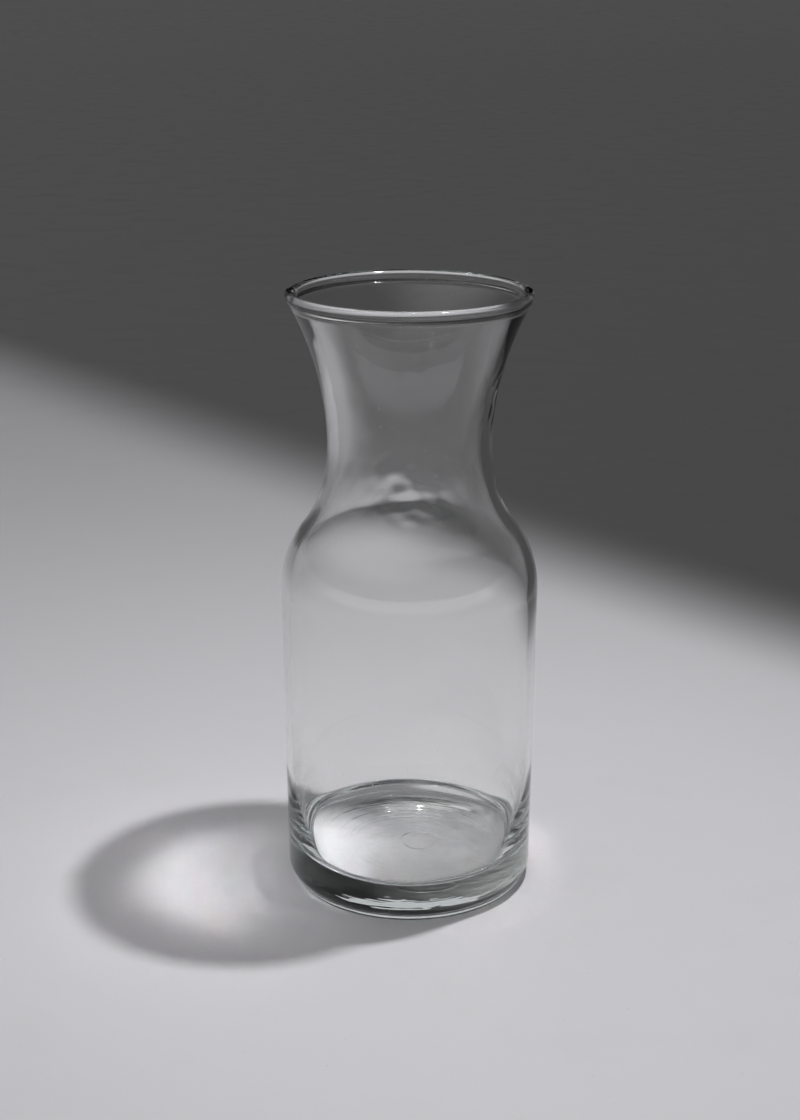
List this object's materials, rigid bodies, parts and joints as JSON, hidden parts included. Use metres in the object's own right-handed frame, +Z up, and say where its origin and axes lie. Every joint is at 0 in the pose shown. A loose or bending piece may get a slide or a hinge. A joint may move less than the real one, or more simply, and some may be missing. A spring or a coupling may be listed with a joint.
{
  "type": "carafe",
  "caption": "Clear glass carafe: straight round body, soft shoulder, waisted neck and wide flared mouth with a rounded lip, on a thick base. Holds and pours a drink.",
  "frame": {"origin": "centre of the flat standing face, on the axis that the carafe is turned about", "axes": "+Z up along that axis, towards the mouth; X and Y are level, and the round shape makes them alike"},
  "size_m": [0.0798, 0.0798, 0.19],
  "materials": {
    "glass": "clear and polished, faintly green where it is thick"
  },
  "bodies": {
    "root": {"glass_body": "glass"}
  },
  "joints": []
}
